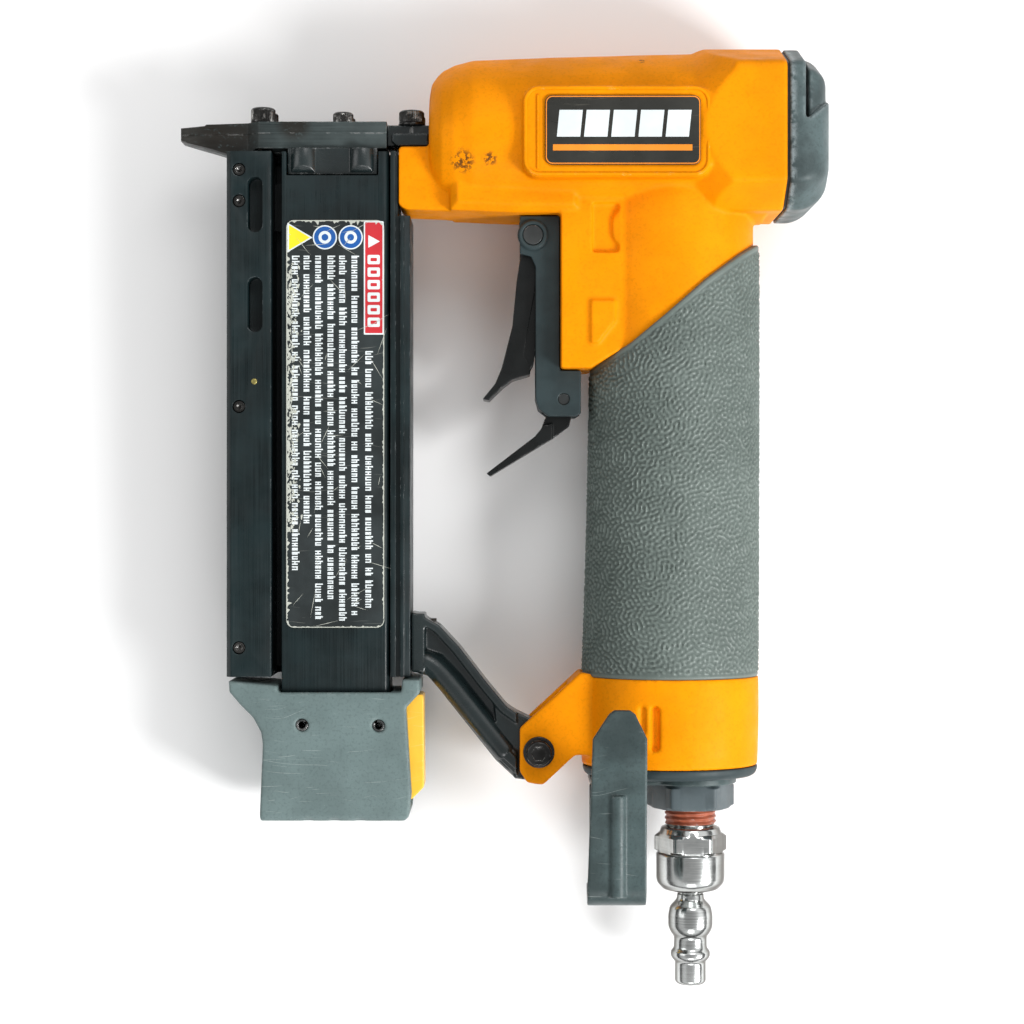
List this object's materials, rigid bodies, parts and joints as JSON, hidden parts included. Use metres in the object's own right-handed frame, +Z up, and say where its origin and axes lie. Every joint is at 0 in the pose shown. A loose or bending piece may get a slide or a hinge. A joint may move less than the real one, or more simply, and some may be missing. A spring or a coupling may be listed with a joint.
{
  "type": "pneumatic headless pin nailer",
  "caption": "Compact air-driven pin nailer with a side-facing magazine, rubber grip, trigger with safety lever, belt hook and air plug, lying on its side.",
  "frame": {"origin": "bottom centre of the whole tool's box as it lies on its right side", "axes": "+X from the nose tip back towards the exhaust, +Y from the air inlet up towards the head, +Z up out of the tool's left side"},
  "size_m": [0.1734, 0.2522, 0.0556],
  "materials": {
    "orange_enamel": "semi-gloss powder coat on die-cast aluminium",
    "grip_rubber": "matte moulded grain",
    "black_anodised": "black anodised, brushed along its length",
    "black_casting": "satin black",
    "nose_steel": "black oxide, worn",
    "blade_steel": "ground",
    "black_screws": "black oxide",
    "pin_steel": "black oxide",
    "spring_steel": "drawn wire",
    "grey_plastic": "scuffed",
    "hook_steel": "dark grey coat, chipped edges",
    "bushing_steel": "dark grey",
    "latch_plastic": "satin",
    "frame_plastic": "fine grain",
    "trigger_black": "satin black",
    "cover_rubber": "scuffed",
    "cap_alloy": "cast",
    "liner_alloy": "machined",
    "seal_rubber": "smooth",
    "valve_plastic": "acetal",
    "valve_brass": "turned",
    "filter_felt": "felt",
    "plug_chrome": "bright plate",
    "plate_print": "printed plate with a plain bar",
    "label_film": "printed film with plain marks"
  },
  "bodies": {
    "root": {"arm_bolt": "black_screws", "arm_nut": "black_screws", "arm_screws": "black_screws", "arm_washer": "black_screws", "base_screws": "black_screws", "base_washers": "black_screws", "belt_hook": "hook_steel", "body_housing": "orange_enamel", "bumper": "seal_rubber", "cap_gasket": "seal_rubber", "cap_screws": "black_screws", "cylinder_cap": "cap_alloy", "cylinder_liner": "liner_alloy", "cylinder_seals": "seal_rubber", "end_cap_seal": "seal_rubber", "exhaust_cover": "cover_rubber", "exhaust_filter": "filter_felt", "grip_sleeve": "grip_rubber", "handle_end_cap": "frame_plastic", "head_valve_spring": "spring_steel", "inlet_bushing": "bushing_steel", "lever_pin": "pin_steel", "magazine_arm": "black_casting", "magazine_rail": "black_anodised", "nameplate_left": "plate_print", "nameplate_right": "plate_print", "nose_base": "black_casting", "nose_lower_plate": "nose_steel", "nose_lugs": "black_casting", "nose_screws": "black_screws", "nose_upper_plate": "nose_steel", "pin_guide": "blade_steel", "plug_body": "plug_chrome", "rail_screws": "black_screws", "trigger_frame": "frame_plastic", "trigger_pin": "pin_steel", "valve_body": "valve_plastic", "valve_seals": "seal_rubber", "valve_spring": "spring_steel"},
    "trigger": {"trigger": "trigger_black"},
    "valve_stem": {"valve_stem": "valve_brass"},
    "safety_lever": {"safety_lever": "trigger_black"},
    "piston": {"piston": "liner_alloy", "piston_seal": "seal_rubber", "driver_blade": "blade_steel"},
    "head_valve": {"head_valve": "valve_plastic", "head_valve_seal": "seal_rubber"},
    "magazine_slide": {"magazine_slide": "black_anodised", "magazine_label": "label_film", "magazine_end_cap": "grey_plastic", "cap_pins": "pin_steel", "pusher_spring": "spring_steel", "latch_spring": "spring_steel"},
    "pusher": {"pusher": "blade_steel"},
    "latch": {"latch": "latch_plastic"},
    "plug_nipple": {"plug_nipple": "plug_chrome"}
  },
  "joints": [
    {"name": "trigger_pull", "type": "hinge", "parent": "root", "child": "trigger", "pos_m": [0.0084, 0.07615, 0.024], "axis": [0, 0, 1], "range_deg": [0, 8.5], "stiffness_Nm_per_rad": 0.6, "springref_deg": -8.59},
    {"name": "valve_press", "type": "slide", "parent": "root", "child": "valve_stem", "axis": [1, 0, 0], "range_m": [0, 0.0034], "deforming": ["valve_spring"]},
    {"name": "lever_squeeze", "type": "hinge", "parent": "root", "child": "safety_lever", "pos_m": [0.0167, 0.03225, 0.024], "axis": [0, 0, 1], "range_deg": [0, 22], "stiffness_Nm_per_rad": 0.3, "springref_deg": -11.46},
    {"name": "piston_stroke", "type": "slide", "parent": "root", "child": "piston", "axis": [-1, 0, 0], "range_m": [0, 0.05]},
    {"name": "head_valve_lift", "type": "slide", "parent": "root", "child": "head_valve", "axis": [1, 0, 0], "range_m": [0, 0.0025], "stiffness_N_per_m": 900, "springref_m": -0.003, "deforming": ["head_valve_spring"]},
    {"name": "magazine_open", "type": "slide", "parent": "root", "child": "magazine_slide", "axis": [0, -1, 0], "range_m": [0, 0.1]},
    {"name": "pusher_travel", "type": "slide", "parent": "magazine_slide", "child": "pusher", "axis": [0, -1, 0], "range_m": [0, 0.1], "stiffness_N_per_m": 25, "springref_m": -0.06, "deforming": ["pusher_spring"]},
    {"name": "latch_press", "type": "hinge", "parent": "magazine_slide", "child": "latch", "pos_m": [-0.0328, -0.05505, 0.024], "axis": [0, 0, 1], "range_deg": [-8, 0], "stiffness_Nm_per_rad": 0.2, "springref_deg": 8.59, "deforming": ["latch_spring"]},
    {"name": "plug_swivel", "type": "hinge", "parent": "root", "child": "plug_nipple", "pos_m": [0.0513, -0.10575, 0.024], "axis": [0, 1, 0], "continuous": true}
  ],
  "couplings": [
    {"joint": "valve_press", "follows": "trigger_pull", "m_per_rad": 0.0219}
  ]
}
